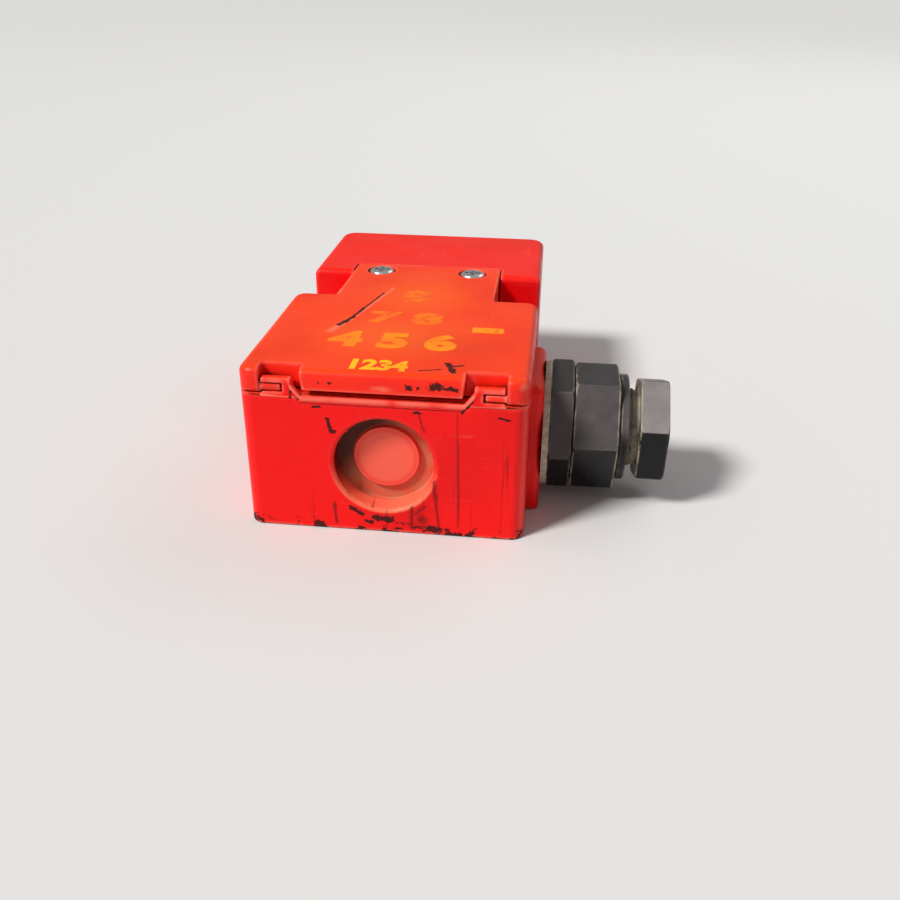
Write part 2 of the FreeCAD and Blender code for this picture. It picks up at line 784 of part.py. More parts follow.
def make_head():
    head = rounded_block(-half_width, half_width, head_front, head_rear, 0, housing_height,
                         neck_corner_radius, head_corner_radius, top_edge_radius)
    inner = half_width - head_wall
    head = head.cut(box(-inner, inner, head_cavity_front, head_cavity_rear, -1, housing_height - head_roof))
    posts = [
        rod(plate_post_radius, (x, y, head_plate_thickness), (0, 0, 1), housing_height - head_roof)
        .common(box(-half_width + 1, half_width - 1, head_front + 1, head_rear - 1, 0, housing_height - 1))
        for x, y in plate_screw_points()
    ]
    screw_bosses = [
        rod(head_screw_boss_radius, (side * head_screw_x, head_cavity_front - 1, head_screw_height),
            (0, 1, 0), head_screw_boss_length + 1)
        for side in (-1, 1)
    ]
    head = union([head] + posts + screw_bosses)
    head = head.cut(plate_outline(0, -1, head_plate_thickness))
    head = head.cut(box(-half_neck - neck_fit, half_neck + neck_fit, head_front - 1, head_recess_rear,
                        -1, housing_height + 1))
    head = head.cut(box(-key_slot_width / 2, key_slot_width / 2, head_cavity_rear - 1, head_rear + 1,
                        key_slot_centre - key_slot_height / 2, key_slot_centre + key_slot_height / 2))
    head = head.cut(rod(plunger_radius + plunger_play, (0, head_recess_rear - 1, plunger_height), (0, 1, 0),
                        head_front_wall + 2))
    for side in (-1, 1):
        screw_run = head_front_wall + head_screw_boss_length - head_screw_tip_clearance + thread_fit
        head = head.cut(rod(head_screw_radius + thread_fit,
                            (side * head_screw_x, head_recess_rear - 1, head_screw_height), (0, 1, 0),
                            1 + screw_run))
    for x, y in plate_screw_points():
        head = head.cut(rod(plate_screw_radius + thread_fit, (x, y, 0), (0, 0, 1),
                            plate_screw_length + thread_fit))
    return head


def make_head_gasket():
    inset = head_gasket_inset
    sheet = box(-half_neck + inset, half_neck - inset, neck_rear, head_recess_rear, inset, rim_height - inset)
    sheet = sheet.cut(rod(plunger_radius + plunger_play, (0, neck_rear - 1, plunger_height), (0, 1, 0),
                          head_gasket_thickness + 2))
    for side in (-1, 1):
        sheet = sheet.cut(rod(head_screw_radius + head_screw_play,
                              (side * head_screw_x, neck_rear - 1, head_screw_height), (0, 1, 0),
                              head_gasket_thickness + 2))
    return sheet


def make_head_screws():
    tip = head_cavity_front + head_screw_boss_length - head_screw_tip_clearance
    screw = pan_head_screw(head_screw_head_radius, head_screw_head_height, head_screw_radius, tip - screw_block_front)
    return Part.makeCompound([
        placed(screw, (side * head_screw_x, screw_block_front, head_screw_height), (0, -1, 0))
        for side in (-1, 1)
    ])


def make_head_plate():
    plate = plate_outline(head_plate_fit, 0, head_plate_thickness)
    for x, y in plate_screw_points():
        wide = countersink_radius + plate_screw_play
        narrow = plate_screw_radius + plate_screw_play
        plate = plate.cut(rod(narrow, (x, y, -1), (0, 0, 1), head_plate_thickness + 2))
        plate = plate.cut(Part.makeCone(wide, narrow, countersink_depth, Vector(x, y, 0)))
    for x, y in cradle_screw_points():
        plate = plate.cut(rod(cradle_screw_radius + thread_fit, (x, y, -1), (0, 0, 1),
                              head_plate_thickness + 2))
    return plate


def make_plate_screws():
    head = Part.makeCone(countersink_radius, plate_screw_radius, countersink_depth, Vector(0, 0, 0))
    shank = rod(plate_screw_radius, (0, 0, 0), (0, 0, 1), plate_screw_length - plate_screw_end_gap)
    screw = union([head, shank])
    slot_half = plate_screw_slot_width / 2
    screw = screw.cut(box(-countersink_radius, countersink_radius, -slot_half, slot_half, -1,
                          plate_screw_slot_depth))
    return Part.makeCompound([placed(screw, (x, y, 0)) for x, y in plate_screw_points()])


def cam_angle_point(angle, radius):
    turn = math.radians(angle)
    return Vector(0, cam_y + radius * math.cos(turn), cam_z + radius * math.sin(turn))


def cam_arc(radius, start, end):
    return Part.Arc(cam_angle_point(start, radius), cam_angle_point((start + end) / 2, radius),
                    cam_angle_point(end, radius)).toShape()


def make_cam():
    """A cam whose working face falls evenly with the turn, and a pocket for the key's bar."""
    low = cam_radius - plunger_travel
    fall_start = 180 - cam_turn
    steps = 6
    spiral_points = [
        cam_angle_point(fall_start + cam_turn * step / steps, low + plunger_travel * step / steps)
        for step in range(steps + 1)
    ]
    spiral = Part.BSplineCurve()
    spiral.interpolate(spiral_points)
    pocket_in = cam_angle_point(cam_pocket_end, cam_radius)
    edges = [
        spiral.toShape(),
        cam_arc(cam_radius, 180, 360 + cam_pocket_start),
        Part.makeLine(cam_angle_point(cam_pocket_start, cam_radius),
                      cam_angle_point(cam_pocket_start, cam_pocket_radius)),
        cam_arc(cam_pocket_radius, cam_pocket_start, cam_pocket_end),
        Part.makeLine(cam_angle_point(cam_pocket_end, cam_pocket_radius), pocket_in),
        cam_arc(cam_radius, cam_pocket_end, cam_rise_start),
        Part.makeLine(cam_angle_point(cam_rise_start, cam_radius), cam_angle_point(cam_dwell_start, low)),
        cam_arc(low, cam_dwell_start, fall_start),
    ]
    wire = Part.Wire(Part.__sortEdges__(edges))
    disc = Part.Face(wire).extrude(Vector(cam_width, 0, 0))
    disc.translate(Vector(-cam_width / 2, 0, 0))
    return disc.cut(rod(cam_shaft_radius + shaft_run, (-cam_width, cam_y, cam_z), (1, 0, 0), 2 * cam_width))


def cradle_screw_points():
    x = cheek_outer + cradle_ear_width / 2
    return [(-x, cam_y), (x, cam_y)]


def make_cradle():
    y0 = cam_y - cheek_length / 2
    y1 = cam_y + cheek_length / 2
    z0 = head_plate_thickness
    cheek = box(cheek_inner, cheek_outer, y0, y1, z0, z0 + cheek_height)
    ground = box(-cheek_outer, cheek_outer, y0, y1, z0, z0 + cradle_floor)
    ear_reach = cheek_outer + cradle_ear_width
    ears = box(-ear_reach, ear_reach, cam_y - cradle_ear_length / 2, cam_y + cradle_ear_length / 2,
               z0, z0 + cradle_floor)
    cradle = union([cheek, mirrored(cheek), ground, ears])
    cradle = cradle.cut(rod(cam_shaft_radius, (-cam_width, cam_y, cam_z), (1, 0, 0), 2 * cam_width))
    for x, y in cradle_screw_points():
        cradle = cradle.cut(rod(cradle_screw_radius + cradle_screw_play, (x, y, 0), (0, 0, 1),
                                2 * z0 + cradle_floor))
    return cradle


def make_cradle_screws():
    screw = pan_head_screw(small_head_radius, small_head_height, cradle_screw_radius, cradle_screw_length)
    seat = head_plate_thickness + cradle_floor
    return Part.makeCompound([placed(screw, (x, y, seat)) for x, y in cradle_screw_points()])


def make_cam_shaft():
    reach = cheek_outer + shaft_overhang
    return rod(cam_shaft_radius, (-reach, cam_y, cam_z), (1, 0, 0), 2 * reach)


def make_shaft_clips():
    clip = tube(clip_radius, cam_shaft_radius, (cheek_outer + clip_run, cam_y, cam_z), (1, 0, 0), clip_thickness)
    gap = box(0, 2 * cheek_outer, cam_y - clip_mouth / 2, cam_y + clip_mouth / 2, cam_z - 2 * clip_radius,
              cam_z - clip_mouth / 2)
    clip = clip.cut(gap)
    return Part.makeCompound([clip, mirrored(clip)])


# Cable gland, from the housing outwards
washer_radius = entry_radius + washer_overhang
adapter_hex = 2 * entry_radius + adapter_hex_over_bore
adapter_wide_bore_radius = entry_radius - adapter_thin_wall
adapter_narrow_bore_radius = entry_radius - adapter_thick_wall
gland_hex = 2 * entry_radius + gland_hex_over_bore
gland_throat_radius = entry_radius - gland_throat_wall
collar_ring_radius = entry_radius + collar_overhang
collar_neck_radius = entry_radius + collar_neck_overhang
pressure_hex = 2 * entry_radius + pressure_hex_over_bore
pressure_thread_radius = entry_radius - pressure_thread_wall
cable_bore_radius = entry_radius - cable_bore_wall
washer_face = boss_face + washer_thickness
adapter_end = washer_face + adapter_hex_length
gland_start = adapter_end + gland_joint_gap
gland_hex_end = gland_start + gland_hex_length
collar_start = gland_hex_end + collar_neck_length
collar_end = collar_start + collar_ring_length
pressure_hex_start = collar_end + pressure_thread_shown
pressure_hex_end = pressure_hex_start + pressure_hex_length
seal_seat = collar_end - pressure_shank_length - thrust_washer_thickness - seal_ring_length - 3 * seal_fit


def make_washer():
    return tube(washer_radius, entry_radius + washer_fit, on_gland_axis(boss_face), (1, 0, 0), washer_thickness)


def make_adapter():
    hexagon = hexagon_x(adapter_hex, washer_face, adapter_end, adapter_hex_turn)
    barrel_start = boss_face - adapter_barrel_length
    barrel = rod(entry_radius - thread_fit, on_gland_axis(barrel_start), (1, 0, 0), washer_face - barrel_start + 1)
    body = union([hexagon, barrel])
    body = body.cut(rod(adapter_narrow_bore_radius, on_gland_axis(barrel_start - 1), (1, 0, 0), half_width))
    wide_start = gland_start - gland_barrel_length - thread_fit
    return body.cut(rod(adapter_wide_bore_radius, on_gland_axis(wide_start), (1, 0, 0), half_width))


def make_gland_body():
    hexagon = hexagon_x(gland_hex, gland_start, gland_hex_end, gland_hex_turn)
    barrel_start = gland_start - gland_barrel_length
    barrel = rod(adapter_wide_bore_radius - thread_fit, on_gland_axis(barrel_start), (1, 0, 0),
                 gland_barrel_length + 1)
    neck = rod(collar_neck_radius, on_gland_axis(gland_hex_end - 1), (1, 0, 0), collar_neck_length + 2)
    ring = rod(collar_ring_radius, on_gland_axis(collar_start), (1, 0, 0), collar_ring_length)
    rims = [edge for edge in ring.Edges if len(edge.Vertexes) == 1]
    ring = ring.makeFillet(collar_edge, rims)
    body = union([hexagon, barrel, neck, ring])
    body = body.cut(rod(gland_throat_radius, on_gland_axis(barrel_start - 1), (1, 0, 0), half_width * 2))
    return body.cut(rod(pressure_thread_radius + thread_fit, on_gland_axis(seal_seat), (1, 0, 0), half_width))


def make_gland_seal():
    return tube(pressure_thread_radius, cable_bore_radius, on_gland_axis(seal_seat + seal_fit), (1, 0, 0),
                seal_ring_length)


def make_thrust_washer():
    start = seal_seat + 1.5 * seal_fit + seal_ring_length
    return tube(pressure_thread_radius, cable_bore_radius, on_gland_axis(start), (1, 0, 0),
                thrust_washer_thickness)


def make_pressure_screw():
    hexagon = hexagon_x(pressure_hex, pressure_hex_start, pressure_hex_end, pressure_hex_turn)
    shank_start = collar_end - pressure_shank_length
    core_radius = pressure_thread_radius - pressure_thread_depth
    shank = rod(core_radius, on_gland_axis(shank_start), (1, 0, 0), pressure_hex_start - shank_start + 1)
    ridges = []
    count = int((pressure_hex_start - shank_start) / pressure_thread_pitch)
    for index in range(count):
        x = shank_start + (index + 0.5) * pressure_thread_pitch
        for sign in (-1, 1):
            base_x = x + sign * 0.4 * pressure_thread_pitch
            cone = Part.makeCone(core_radius - 0.1, pressure_thread_radius, 0.4 * pressure_thread_pitch,
                                 Vector(*on_gland_axis(base_x)), Vector(-sign, 0, 0))
            ridges.append(cone)
    body = union([shank, hexagon] + ridges)
    return body.cut(rod(cable_bore_radius, on_gland_axis(shank_start - 1), (1, 0, 0), half_width))


save(make_base(), "base_housing")
save(make_lid(), "lid")
save(make_lid_gasket(), "lid_gasket")
save(make_lid_screws(), "lid_screws")
save(make_inserts(), "lid_screw_inserts")
save(make_block(), "contact_block")
save(make_block_screws(), "contact_block_screws")
save(make_carrier(), "contact_carrier")
save(make_bridges(), "contact_bridges")
save(make_bridge_springs(), "bridge_springs")
save(make_fixed_contacts(), "fixed_contacts")
save(make_terminal_screws(), "terminal_screws")
save(make_plunger(), "plunger")
save(make_bush(), "plunger_bush")
save(make_plunger_seal(), "plunger_seal")
save(make_return_spring(), "return_spring")
save(make_head(), "head_housing")
save(make_head_gasket(), "head_gasket")
save(make_head_screws(), "head_screws")
save(make_head_plate(), "head_base_plate")
save(make_plate_screws(), "head_plate_screws")
save(make_cam(), "key_cam")
save(make_cradle(), "cam_cradle")
save(make_cradle_screws(), "cam_cradle_screws")
save(make_cam_shaft(), "cam_shaft")
save(make_shaft_clips(), "shaft_clips")
save(make_washer(), "gland_washer")
save(make_adapter(), "gland_adapter")
save(make_gland_body(), "gland_body")
save(make_gland_seal(), "gland_seal")
save(make_thrust_washer(), "gland_thrust_washer")
save(make_pressure_screw(), "gland_pressure_screw")
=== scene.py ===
import json
import math

import bpy
from mathutils import Matrix, Vector


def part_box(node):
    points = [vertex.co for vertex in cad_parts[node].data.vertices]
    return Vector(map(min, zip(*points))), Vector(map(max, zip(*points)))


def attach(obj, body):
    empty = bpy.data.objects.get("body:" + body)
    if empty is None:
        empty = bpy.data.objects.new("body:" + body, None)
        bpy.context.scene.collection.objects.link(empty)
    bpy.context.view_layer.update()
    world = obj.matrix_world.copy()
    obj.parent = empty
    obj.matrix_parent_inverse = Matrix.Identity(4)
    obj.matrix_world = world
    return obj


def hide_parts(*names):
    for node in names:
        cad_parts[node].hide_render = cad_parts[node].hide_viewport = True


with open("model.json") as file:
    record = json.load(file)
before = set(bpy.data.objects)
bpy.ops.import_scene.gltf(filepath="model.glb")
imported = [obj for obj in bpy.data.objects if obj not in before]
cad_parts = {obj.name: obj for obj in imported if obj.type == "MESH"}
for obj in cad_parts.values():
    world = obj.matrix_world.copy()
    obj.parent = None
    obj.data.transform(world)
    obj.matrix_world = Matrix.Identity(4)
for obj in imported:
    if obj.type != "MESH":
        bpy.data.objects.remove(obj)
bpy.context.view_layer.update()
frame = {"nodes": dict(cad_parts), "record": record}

MM = 0.001

# Faces that marks and prints lie on, and the sill's half width, in millimetres
TOP_Z = 32.1
TONGUE_Y = -50.6
FRONT_Y = -50.8
SILL_HALF = 14.6

# Places on the switch, in metres, as the frame has them
LID_TOP = TOP_Z * MM
FRONT = FRONT_Y * MM
ENTRY_Z = 14.0 * MM
ENTRY_RADIUS = 9.25 * MM
ENTRY_DEPTH = 4.6 * MM
DISC_RADIUS = 6.2 * MM

# The viewpoint that was solved from the photograph, in metres and radians, with its lens in millimetres
CAMERA_PLACE = Vector((27.98, -198.14, 96.20)) * MM
CAMERA_YAW = -0.1068
CAMERA_PITCH = 0.4845
CAMERA_ROLL = 0.0107
CAMERA_LENS = 37.53
SENSOR_WIDTH = 36.0

FLOOR_GAP = 0.05 * MM

# Edges flatter than SMOOTH_ANGLE are shaded smooth. Before a copy is rounded, its points nearer than
# MERGE_DISTANCE are joined and its edges flatter than FLAT_ANGLE are dissolved.
SMOOTH_ANGLE = math.radians(38)
MERGE_DISTANCE = 0.001 * MM
FLAT_ANGLE = math.radians(0.6)

# Shader values: samples of the corner and edge masks, and how finely lines and spots shake
AO_SAMPLES = 6
LINE_SHAKE = 900.0
SPOT_SHAKE = 700.0


def deselect():
    bpy.ops.object.select_all(action="DESELECT")


def activate(piece):
    deselect()
    piece.select_set(True)
    bpy.context.view_layer.objects.active = piece


def edit(piece, mode):
    """Opens a piece in edit mode with all of it selected."""
    activate(piece)
    bpy.ops.object.mode_set(mode="EDIT")
    bpy.ops.mesh.select_mode(type=mode)
    bpy.ops.mesh.select_all(action="SELECT")


def leave_edit():
    bpy.ops.object.mode_set(mode="OBJECT")


def settle(piece):
    """Puts the object's place, turn and scale into its mesh."""
    activate(piece)
    bpy.ops.object.transform_apply(location=True, rotation=True, scale=True)


def use_modifier(piece, kind, **settings):
    activate(piece)
    modifier = piece.modifiers.new(kind.lower(), kind)
    for name, value in settings.items():
        setattr(modifier, name, value)
    bpy.ops.object.modifier_apply(modifier=modifier.name)


def smooth(piece):
    activate(piece)
    bpy.ops.object.shade_smooth_by_angle(angle=SMOOTH_ANGLE)


def dress(piece, finish, body, slot, *nodes):
    """Gives a finished piece its material and its body, and hides the CAD nodes it stands in for."""
    piece.data.materials.clear()
    piece.data.materials.append(finish)
    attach(piece, body)
    if nodes:
        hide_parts(*nodes)


def add_camera():
    ahead = Vector((math.sin(CAMERA_YAW), math.cos(CAMERA_YAW), 0))
    side = Vector((math.cos(CAMERA_YAW), -math.sin(CAMERA_YAW), 0))
    upward = Vector((0, 0, 1))
    forward = ahead * math.cos(CAMERA_PITCH) - upward * math.sin(CAMERA_PITCH)
    level_up = upward * math.cos(CAMERA_PITCH) + ahead * math.sin(CAMERA_PITCH)
    right = side * math.cos(CAMERA_ROLL) + level_up * math.sin(CAMERA_ROLL)
    up = level_up * math.cos(CAMERA_ROLL) - side * math.sin(CAMERA_ROLL)
    data = bpy.data.cameras.new("photo_camera")
    data.sensor_width = SENSOR_WIDTH
    data.lens = CAMERA_LENS
    data.clip_start = 0.01
    data.clip_end = 20.0
    camera = bpy.data.objects.new("photo_camera", data)
    turn = Matrix((right, up, -forward)).transposed().to_4x4()
    camera.matrix_world = Matrix.Translation(CAMERA_PLACE) @ turn
    bpy.context.scene.collection.objects.link(camera)
    bpy.context.scene.camera = camera


def aim(lamp, place, target):
    """Puts a lamp at a place and points it at a target."""
    lamp.location = place
    lamp.rotation_mode = "QUATERNION"
    lamp.rotation_quaternion = (Vector(target) - Vector(place)).to_track_quat("-Z", "Y")
    bpy.context.scene.collection.objects.link(lamp)


def add_studio():
    bpy.context.scene.view_settings.view_transform = "Standard"
    sky = bpy.data.lights.new("key_light", "SUN")
    sky.energy = 3.15
    sky.angle = math.radians(13)
    sky.color = (1.0, 0.985, 0.96)
    aim(bpy.data.objects.new("key_light", sky), (-0.62, -0.48, 0.80), (0, 0, 0))
    strip = bpy.data.lights.new("edge_light", "AREA")
    strip.shape = "RECTANGLE"
    strip.size = 0.9
    strip.size_y = 0.22
    strip.energy = 1.5
    aim(bpy.data.objects.new("edge_light", strip), (0.55, 0.55, 0.75), (0, 0, 0.02))
    world = bpy.data.worlds.new("studio")
    world.use_nodes = True
    soft = world.node_tree.nodes["Background"]
    soft.inputs["Color"].default_value = (1.0, 1.0, 1.0, 1.0)
    soft.inputs["Strength"].default_value = 0.27
    bpy.context.scene.world = world


def add_floor():
    bpy.ops.mesh.primitive_plane_add(size=6.0, location=(0, 0, -FLOOR_GAP))
    floor = bpy.context.active_object
    floor.name = "studio_floor"
    finish = bpy.data.materials.new("pale_floor")
    finish.use_nodes = True
    shader = finish.node_tree.nodes["Principled BSDF"]
    shader.inputs["Base Color"].default_value = (0.74, 0.74, 0.735, 1.0)
    shader.inputs["Roughness"].default_value = 0.85
    floor.data.materials.append(finish)


class Finish:
    """A procedural material on the piece's own Object coordinates, and shorthand for its nodes."""

    def __init__(self, name):
        self.material = bpy.data.materials.new(name)
        self.material.use_nodes = True
        self.tree = self.material.node_tree
        self.shader = self.tree.nodes["Principled BSDF"]
        coordinates = self.tree.nodes.new("ShaderNodeTexCoord")
        self.place = coordinates.outputs["Object"]
        self.facing = coordinates.outputs["Normal"]

    def put(self, socket, value):
        if isinstance(value, bpy.types.NodeSocket):
            self.tree.links.new(value, socket)
        else:
            socket.default_value = value

    def calc(self, operation, first, second=0.0):
        node = self.tree.nodes.new("ShaderNodeMath")
        node.operation = operation
        self.put(node.inputs[0], first)
        self.put(node.inputs[1], second)
        return node.outputs[0]

    def vector(self, operation, first, second=None, scale=None):
        node = self.tree.nodes.new("ShaderNodeVectorMath")
        node.operation = operation
        self.put(node.inputs[0], first)
        if second is not None:
            self.put(node.inputs[1], second)
        if scale is not None:
            self.put(node.inputs["Scale"], scale)
        return node.outputs["Value" if operation in ("LENGTH", "DOT_PRODUCT") else "Vector"]

    def times(self, first, *others):
        for other in others:
            first = self.calc("MULTIPLY", first, other)
        return first

    def any_of(self, masks):
        total = masks[0]
        for mask in masks[1:]:
            total = self.calc("MAXIMUM", total, mask)
        return total

    def ramp(self, value, low, high, start=0.0, end=1.0):
        node = self.tree.nodes.new("ShaderNodeMapRange")
        node.interpolation_type = "SMOOTHSTEP"
        self.put(node.inputs["Value"], value)
        node.inputs["From Min"].default_value = low
        node.inputs["From Max"].default_value = high
        node.inputs["To Min"].default_value = start
        node.inputs["To Max"].default_value = end
        return node.outputs["Result"]

    def fall(self, value, low, high):
        """1 up to low, falling to 0 at high."""
        return self.ramp(value, low, high, 1.0, 0.0)

    def between(self, value, rising, falling):
        """0, then up to 1 over the rising pair of limits, and back to 0 over the falling pair."""
        return self.times(self.ramp(value, *rising), self.fall(value, *falling))

    def noise(self, scale, detail=4.0, roughness=0.55, stretch=(1, 1, 1), shift=(0, 0, 0), distortion=0.0):
        mapping = self.tree.nodes.new("ShaderNodeMapping")
        self.put(mapping.inputs["Vector"], self.place)
        mapping.inputs["Scale"].default_value = stretch
        mapping.inputs["Location"].default_value = shift
        node = self.tree.nodes.new("ShaderNodeTexNoise")
        self.put(node.inputs["Vector"], mapping.outputs["Vector"])
        node.inputs["Scale"].default_value = scale
        node.inputs["Detail"].default_value = detail
        node.inputs["Roughness"].default_value = roughness
        node.inputs["Distortion"].default_value = distortion
        return node.outputs["Fac"]

    def mix(self, amount, first, second):
        node = self.tree.nodes.new("ShaderNodeMix")
        node.data_type = "RGBA"
        self.put(node.inputs["Factor"], amount)
        self.put(node.inputs[6], first)
        self.put(node.inputs[7], second)
        return node.outputs[2]

    def axis(self, vector, name):
        node = self.tree.nodes.new("ShaderNodeSeparateXYZ")
        self.put(node.inputs[0], vector)
        return node.outputs[name]

    def crevice(self, distance):
        """Rises towards 1 in corners and gaps, 0 on open faces."""
        node = self.tree.nodes.new("ShaderNodeAmbientOcclusion")
        node.samples = AO_SAMPLES
        node.inputs["Distance"].default_value = distance
        return self.calc("SUBTRACT", 1.0, node.outputs["AO"])

    def ridge(self, distance):
        """1 along outward edges and corners, whatever the mesh's points, 0 on open faces."""
        node = self.tree.nodes.new("ShaderNodeAmbientOcclusion")
        node.samples = AO_SAMPLES
        node.inside = True
        node.only_local = True
        node.inputs["Distance"].default_value = distance
        return self.fall(node.outputs["AO"], 0.58, 0.90)

    def line(self, start, end, width, wander):
        """1 along a scratch from start to end, in millimetres, falling to 0 at its sides."""
        a = Vector(start) * MM
        b = Vector(end) * MM
        along = (b - a).normalized()
        offset = self.vector("SUBTRACT", self.vector("ADD", self.place, wander), tuple(a))
        distance = self.vector("DOT_PRODUCT", offset, tuple(along))
        inside = self.calc("MINIMUM", self.calc("MAXIMUM", distance, 0.0), (b - a).length)
        foot = self.vector("SCALE", tuple(along), scale=inside)
        apart = self.vector("LENGTH", self.vector("SUBTRACT", offset, foot))
        return self.fall(apart, 0.0, width * MM)

    def spot(self, centre, radii, soft, wander=None):
        """1 inside an ellipsoid in millimetres, falling to 0 at its skin."""
        place = self.place if wander is None else self.vector("ADD", self.place, wander)
        offset = self.vector("SUBTRACT", place, tuple(Vector(centre) * MM))
        scaled = self.vector("DIVIDE", offset, tuple(Vector(radii) * MM))
        return self.fall(self.vector("LENGTH", scaled), soft, 1.0)

    def wander(self, scale, amount):
        """A small shaky offset, in millimetres, that roughens a mark's outline."""
        node = self.tree.nodes.new("ShaderNodeTexNoise")
        self.put(node.inputs["Vector"], self.place)
        node.inputs["Scale"].default_value = scale
        node.inputs["Detail"].default_value = 3.0
        centred = self.vector("SUBTRACT", node.outputs["Color"], (0.5, 0.5, 0.5))
        return self.vector("SCALE", centred, scale=amount * MM)

    def bump(self, height, strength, distance):
        node = self.tree.nodes.new("ShaderNodeBump")
        node.inputs["Strength"].default_value = strength
        node.inputs["Distance"].default_value = distance
        self.put(node.inputs["Height"], height)
        self.put(self.shader.inputs["Normal"], node.outputs["Normal"])

    def done(self, colour, roughness, metallic=0.0, specular=0.5):
        self.put(self.shader.inputs["Base Color"], colour)
        self.put(self.shader.inputs["Roughness"], roughness)
        self.shader.inputs["Metallic"].default_value = metallic
        self.shader.inputs["Specular IOR Level"].default_value = specular
        return self.material


def shade(red, green, blue):
    """A colour written as 0 to 255 screen values, as the shader wants it."""
    def linear(value):
        value /= 255
        return value / 12.92 if value <= 0.04045 else ((value + 0.055) / 1.055) ** 2.4
    return (linear(red), linear(green), linear(blue), 1.0)


# Worn red thermoplastic: painted light on upward faces and painted shade on the walls, painted highlights
# along outward edges, and painted shade with grime in the gaps
def red_plastic(name, top, wall, tints=(), black_marks=(), entry_dust_and_shadow=False):
    finish = Finish(name)
    # Painted light and shade: upward faces take the lighter top colour, walls the darker wall colour
    upward = finish.ramp(finish.axis(finish.facing, "Z"), 0.35, 0.95)
    fading = finish.noise(34.0, 3.0, 0.5)
    colour = finish.mix(upward, wall, top)
    deep = finish.mix(upward, shade(206, 4, 6), shade(226, 34, 6))
    colour = finish.mix(finish.ramp(fading, 0.42, 0.72, 0.0, 0.6), colour, deep)
    speck = finish.noise(900.0, 5.0, 0.65)
    colour = finish.mix(finish.ramp(speck, 0.60, 0.80, 0.0, 0.22), colour, shade(255, 96, 70))

    # Painted highlight along outward edges, in patches
    patch = finish.ramp(finish.noise(160.0, 4.0, 0.6), 0.22, 0.56)
    edge_highlight = finish.times(finish.ridge(0.85 * MM), patch, 0.85)
    colour = finish.mix(edge_highlight, colour, shade(255, 124, 104))

    # Fine hair scratches in two directions
    along_x = finish.noise(1500.0, 2.0, 0.5, (0.06, 1.0, 0.9), (0.1, 0.2, 0.3), 0.5)
    along_y = finish.noise(1400.0, 2.0, 0.5, (1.0, 0.07, 0.9), (0.7, 0.1, 0.5), 0.5)
    hairs = finish.any_of([finish.ramp(scratch, 0.68, 0.74) for scratch in (along_x, along_y)])
    colour = finish.mix(finish.times(hairs, 0.10), colour, shade(255, 140, 115))

    # Painted shade where the surface turns inwards, broken into blotches of grime
    crevice_shade = finish.ramp(finish.crevice(1.5 * MM), 0.36, 0.80)
    blotch = finish.ramp(finish.noise(420.0, 5.0, 0.65), 0.30, 0.58)
    shade_and_grime = finish.times(crevice_shade, blotch, 0.9)
    colour = finish.mix(shade_and_grime, colour, shade(48, 16, 12))

    fine = finish.times(finish.noise(2600.0, 3.0, 0.6), 0.5)
    broad = finish.times(finish.noise(120.0, 2.0), 1.2)
    height = finish.calc("SUBTRACT", finish.calc("ADD", fine, broad), finish.times(hairs, 0.35))
    rough = finish.ramp(finish.noise(75.0, 4.0, 0.6), 0.3, 0.75, 0.30, 0.46)
    for marks, tint, amount in tints:
        tinted = finish.any_of([mark(finish) for mark in marks])
        colour = finish.mix(finish.times(tinted, amount), colour, tint)
    if entry_dust_and_shadow:
        cover = finish.ramp(finish.noise(240.0, 5.0, 0.65), 0.28, 0.60, 0.45, 1.0)
        dust = finish.times(entry_dust(finish), cover)
        colour = finish.mix(finish.times(dust, 0.86), colour, shade(198, 126, 94))
        rough = finish.calc("ADD", rough, finish.times(dust, 0.25))
        # Painted shadow in the upper left of the front entry
        colour = finish.mix(finish.times(entry_shadow(finish), 0.86), colour, shade(38, 7, 4))
    if black_marks:
        black = finish.any_of([mark(finish) for mark in black_marks])
        flaking = finish.ramp(finish.noise(1500.0, 5.0, 0.72), 0.34, 0.66, -0.45, 0.09)
        black = finish.ramp(finish.calc("ADD", black, flaking), 0.13, 0.30)
        colour = finish.mix(finish.times(black, 0.93), colour, shade(30, 14, 12))
        rough = finish.calc("ADD", rough, finish.times(black, 0.25))
        height = finish.calc("SUBTRACT", height, finish.times(black, 1.6))
    rough = finish.calc("ADD", rough, finish.times(shade_and_grime, 0.35))
    finish.bump(height, 0.35, 0.05 * MM)
    return finish.done(colour, rough, specular=0.22)


def around_entry(finish, depth):
    """Places as seen from the front entry's axis at a depth, and how far they lie from that axis."""
    place = finish.vector("SUBTRACT", finish.place, (0.0, FRONT + depth, ENTRY_Z))
    out = finish.vector("LENGTH", finish.vector("MULTIPLY", place, (1.0, 0.0, 1.0)))
    return place, out


def entry_dust(finish):
    """The dust that lies in the ring between the front knock-out's disc and its bore."""
    place, out = around_entry(finish, ENTRY_DEPTH)
    ring = finish.between(out, (DISC_RADIUS - 0.2 * MM, DISC_RADIUS + 0.25 * MM),
                          (ENTRY_RADIUS + 0.2 * MM, ENTRY_RADIUS + 0.9 * MM))
    from_floor = finish.calc("ABSOLUTE", finish.axis(place, "Y"))
    return finish.times(ring, finish.fall(from_floor, 0.3 * MM, 1.5 * MM))


def entry_shadow(finish):
    """Painted shadow on the upper left of the front entry, beside its disc, where the rim shades it."""
    place, out = around_entry(finish, 0.0)
    beside = finish.between(out, (DISC_RADIUS + 0.05 * MM, DISC_RADIUS + 0.35 * MM),
                            (ENTRY_RADIUS + 0.3 * MM, ENTRY_RADIUS + 0.7 * MM))
    towards = finish.vector("DOT_PRODUCT", place, (-0.78, 0.0, 0.62))
    corner = finish.ramp(towards, 0.5 * MM, 6.5 * MM)
    depth = finish.ramp(finish.axis(place, "Y"), 0.4 * MM, 1.2 * MM)
    return finish.times(beside, corner, depth)


